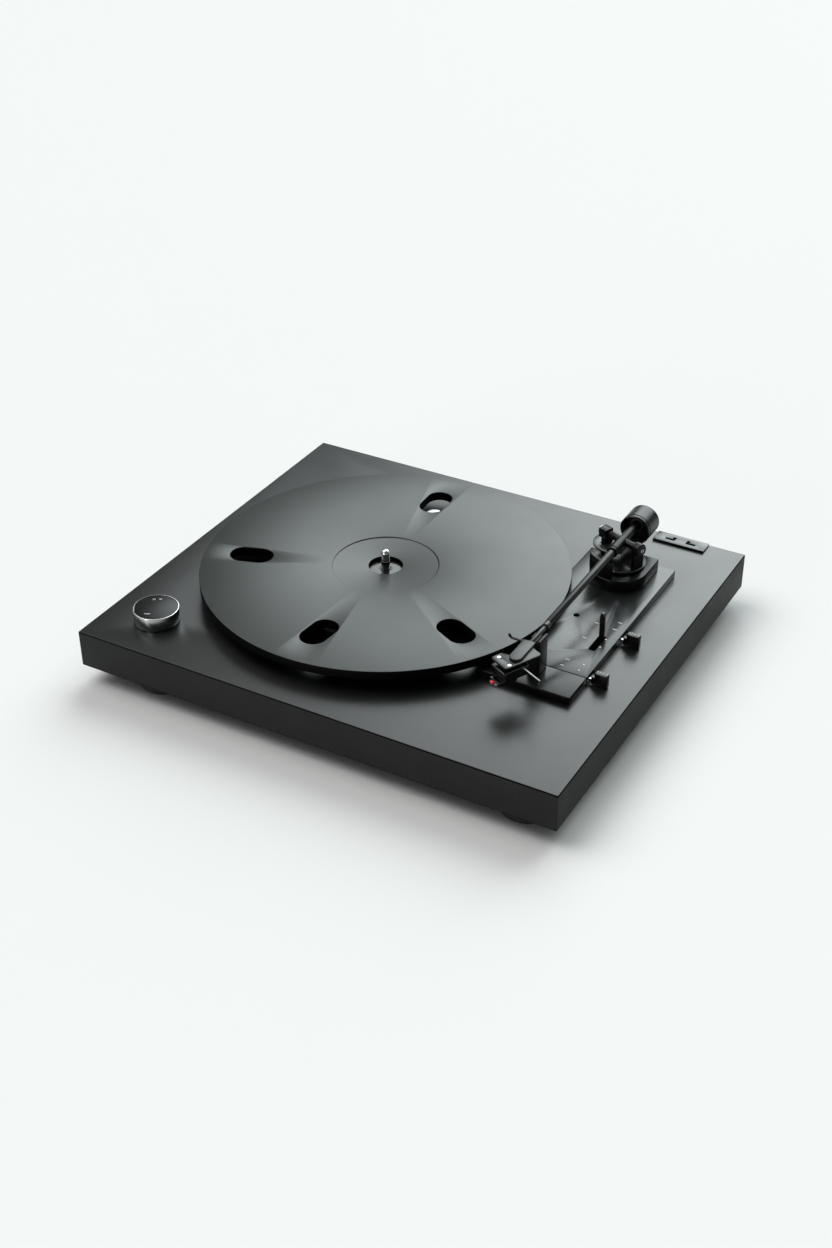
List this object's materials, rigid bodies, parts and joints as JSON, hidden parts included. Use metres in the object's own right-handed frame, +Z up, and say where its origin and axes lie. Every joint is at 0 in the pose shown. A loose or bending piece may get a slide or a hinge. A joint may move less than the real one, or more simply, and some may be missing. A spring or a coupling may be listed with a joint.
{
  "type": "turntable record player",
  "caption": "Low rectangular record player with a slotted round platter, a raised control plate with a straight tonearm and counterweight, and a round speed knob.",
  "frame": {"origin": "middle of the footprint, on the surface that the feet stand on", "axes": "+X to the right along the plinth's long side, +Y to the rear, +Z up"},
  "size_m": [0.42, 0.365, 0.0953],
  "materials": {
    "plinth_black": "fine satin black with a faint grey sheen",
    "cover_black": "matte moulded",
    "rubber_black": "matte",
    "platter_grey": "satin dark grey cast metal",
    "plate_grey": "satin dark grey",
    "plastic_black": "satin moulded",
    "gloss_black": "semi-gloss",
    "arm_black": "satin black over metal",
    "chrome": "polished",
    "brushed": "turned",
    "steel": "machined",
    "bronze": "sintered",
    "belt_rubber": "smooth",
    "gear_white": "natural moulded",
    "board_green": "solder mask",
    "stylus_red": "moulded"
  },
  "bodies": {
    "base": {"plinth": "plinth_black", "bottom_cover": "cover_black", "foot_front_left": "rubber_black", "foot_front_right": "rubber_black", "foot_rear_left": "rubber_black", "foot_rear_right": "rubber_black", "hinge_socket_plate": "plate_grey", "rear_panel": "plastic_black", "phono_socket_left": "steel", "phono_socket_right": "steel", "dc_socket": "plastic_black", "ground_terminal": "brushed", "circuit_board": "board_green", "bearing_housing": "brushed", "gear_post": "steel", "cycle_gear": "gear_white", "motor": "steel", "motor_plate": "steel", "drive_belt": "belt_rubber", "rotary_switch": "plastic_black", "tonearm_plate": "plate_grey", "plate_end_block": "gloss_black", "set_down_screw": "steel", "cue_bracket": "steel", "pivot_base": "plastic_black", "arm_bush": "bronze", "arm_rest": "plastic_black"},
    "platter": {"platter": "platter_grey", "drive_ring": "plastic_black", "platter_hub": "plastic_black", "spindle": "chrome"},
    "pulley": {"motor_pulley": "brushed"},
    "speed_knob": {"speed_knob_ring": "chrome", "speed_knob_cap": "gloss_black"},
    "size_selector": {"size_selector_knob": "gloss_black", "size_selector_pin": "chrome"},
    "start_stop": {"start_stop_knob": "gloss_black", "start_stop_pin": "chrome"},
    "cue_lever": {"cue_lever": "plastic_black"},
    "cue_bar": {"cue_bar": "steel"},
    "cue_lift": {"cue_lift": "plastic_black"},
    "rest_clip": {"arm_rest_clip": "plastic_black"},
    "swing": {"yoke": "arm_black", "yoke_shelf": "arm_black", "bearing_screw_left": "steel", "bearing_screw_right": "steel", "swing_shaft": "steel", "swing_lever": "steel"},
    "arm": {"arm_hub": "arm_black", "arm_tube": "arm_black", "headshell": "arm_black", "finger_lift": "brushed", "cartridge_body": "plastic_black", "cartridge_screw_left": "chrome", "cartridge_screw_right": "chrome", "stylus_holder": "stylus_red", "stylus_cantilever": "steel"},
    "counterweight": {"counterweight": "arm_black", "counterweight_bush": "rubber_black"}
  },
  "joints": [
    {"name": "platter_spin", "type": "hinge", "parent": "base", "child": "platter", "pos_m": [-0.033, -0.0025, 0.047], "axis": [0, 0, -1], "continuous": true},
    {"name": "pulley_spin", "type": "hinge", "parent": "base", "child": "pulley", "pos_m": [-0.04592, 0.10271, 0.047], "axis": [0, 0, -1], "continuous": true},
    {"name": "speed_knob_turn", "type": "hinge", "parent": "base", "child": "speed_knob", "pos_m": [-0.1652, -0.1383, 0.047], "axis": [0, 0, -1], "range_deg": [-30, 30]},
    {"name": "size_select", "type": "slide", "parent": "base", "child": "size_selector", "axis": [0, 1, 0], "range_m": [0, 0.0104]},
    {"name": "start_stop", "type": "slide", "parent": "base", "child": "start_stop", "axis": [0, 1, 0], "range_m": [0, 0.0086]},
    {"name": "cue_lever_tilt", "type": "hinge", "parent": "base", "child": "cue_lever", "pos_m": [0.1594, 0.0005, 0.034], "axis": [1, 0, 0], "range_deg": [0, 40]},
    {"name": "cue_bar_slide", "type": "slide", "parent": "base", "child": "cue_bar", "axis": [0, 1, 0], "range_m": [0, 0.0052]},
    {"name": "cue_lift_rise", "type": "slide", "parent": "base", "child": "cue_lift", "axis": [0, 0, 1], "range_m": [0, 0.0032]},
    {"name": "rest_clip_flip", "type": "hinge", "parent": "base", "child": "rest_clip", "pos_m": [0.1292, -0.0643, 0.0785], "axis": [0, 1, 0], "range_deg": [0, 110]},
    {"name": "tonearm_swing", "type": "hinge", "parent": "base", "child": "swing", "pos_m": [0.134, 0.0935, 0.0645], "axis": [0, 0, 1], "range_deg": [-43, 0]},
    {"name": "tonearm_tilt", "type": "hinge", "parent": "swing", "child": "arm", "pos_m": [0.134, 0.0935, 0.0855], "axis": [0.9367, -0.3502, 0], "range_deg": [-8, 0]},
    {"name": "counterweight_slide", "type": "slide", "parent": "arm", "child": "counterweight", "axis": [0, 1, 0], "range_m": [-0.001, 0.008]}
  ],
  "couplings": [
    {"joint": "pulley_spin", "follows": "platter_spin", "ratio": 14.667},
    {"joint": "cue_bar_slide", "follows": "cue_lever_tilt", "m_per_rad": 0.0073},
    {"joint": "cue_lift_rise", "follows": "cue_lever_tilt", "m_per_rad": 0.00447}
  ]
}
